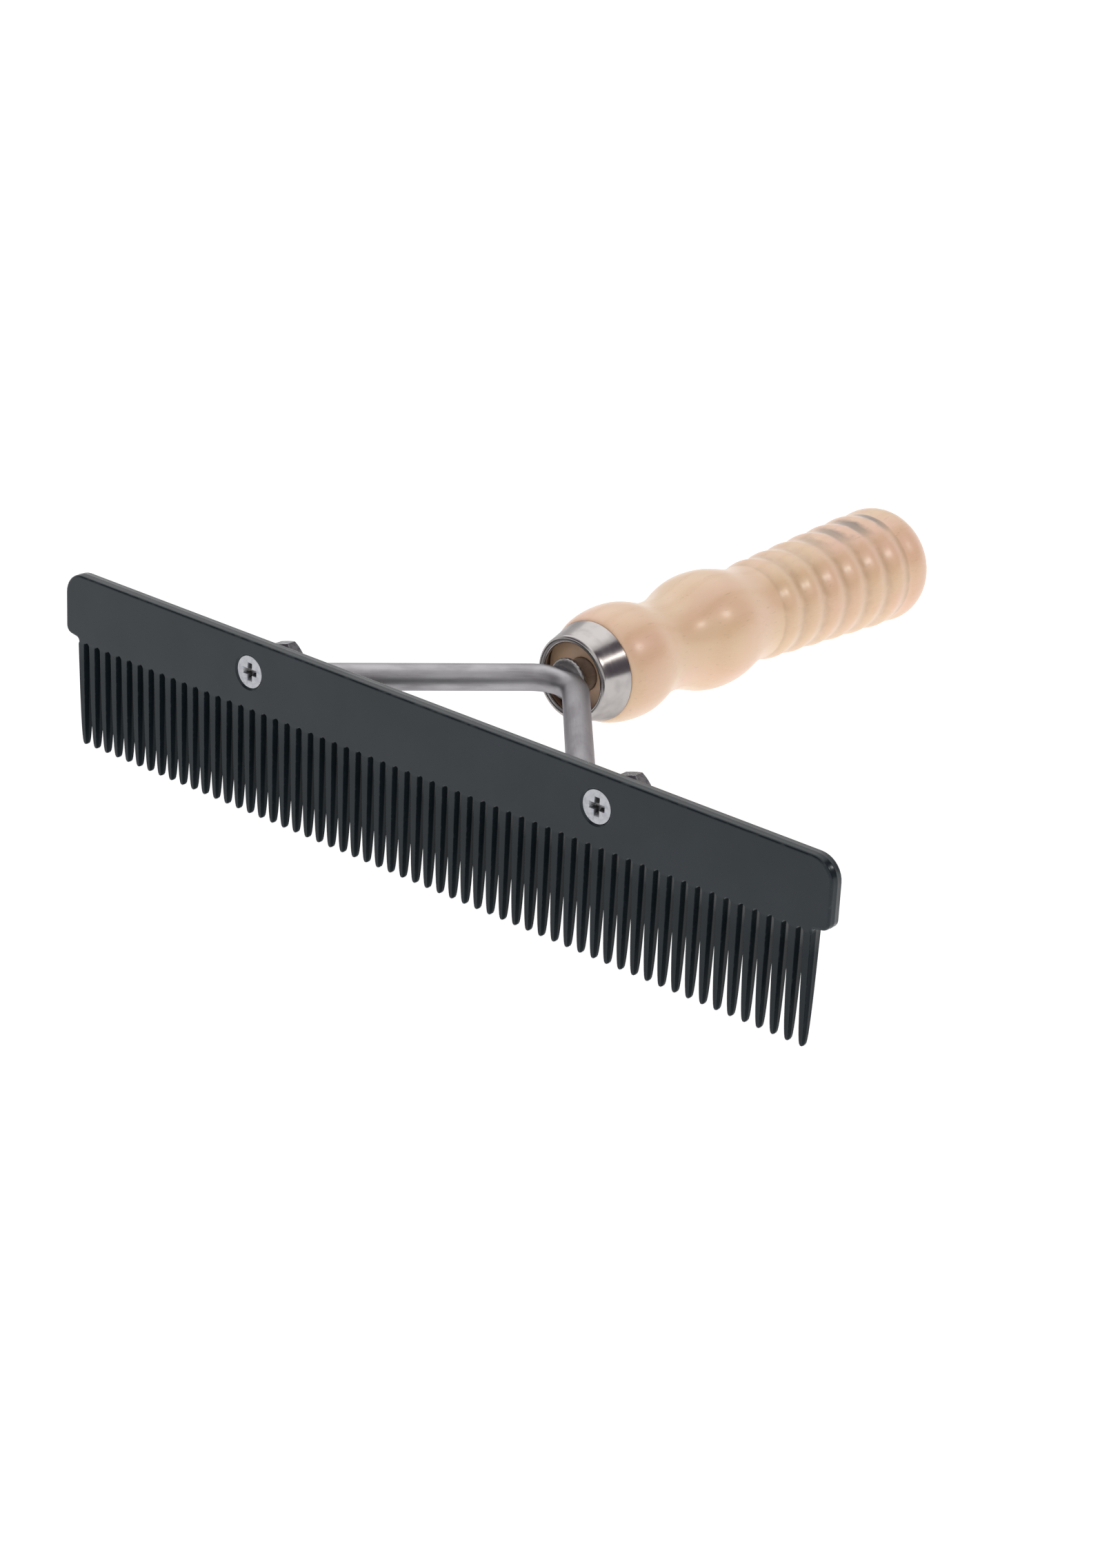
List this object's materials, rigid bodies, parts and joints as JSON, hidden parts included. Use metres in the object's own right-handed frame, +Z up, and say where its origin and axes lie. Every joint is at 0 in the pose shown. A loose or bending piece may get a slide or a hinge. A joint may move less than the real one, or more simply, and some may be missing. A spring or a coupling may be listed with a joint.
{
  "type": "show comb",
  "caption": "Long-handled show comb: a straight moulded comb blade screwed to a bent rod fork that enters a ferruled, turned wooden handle.",
  "frame": {"origin": "where the handle's axis meets the blade's front face", "axes": "+X along the comb blade, +Y along the handle away from the blade, +Z up with the teeth pointing down along -Z"},
  "size_m": [0.2286, 0.1762, 0.0501],
  "materials": {
    "blade_plastic": "satin charcoal moulded plastic",
    "rod_steel": "bright drawn steel, lightly brushed",
    "weld_steel": "plated weld bead",
    "ferrule_chrome": "polished",
    "handle_wood": "pale turned hardwood under clear lacquer",
    "zinc_hardware": "bright zinc plate"
  },
  "bodies": {
    "root": {"comb_blade": "blade_plastic", "fork_rod": "rod_steel", "tang": "rod_steel", "tang_weld": "weld_steel", "ferrule": "ferrule_chrome", "handle": "handle_wood", "screw_left": "zinc_hardware", "screw_right": "zinc_hardware", "lock_washer_left": "zinc_hardware", "lock_washer_right": "zinc_hardware", "nut_left": "zinc_hardware", "nut_right": "zinc_hardware"}
  },
  "joints": []
}
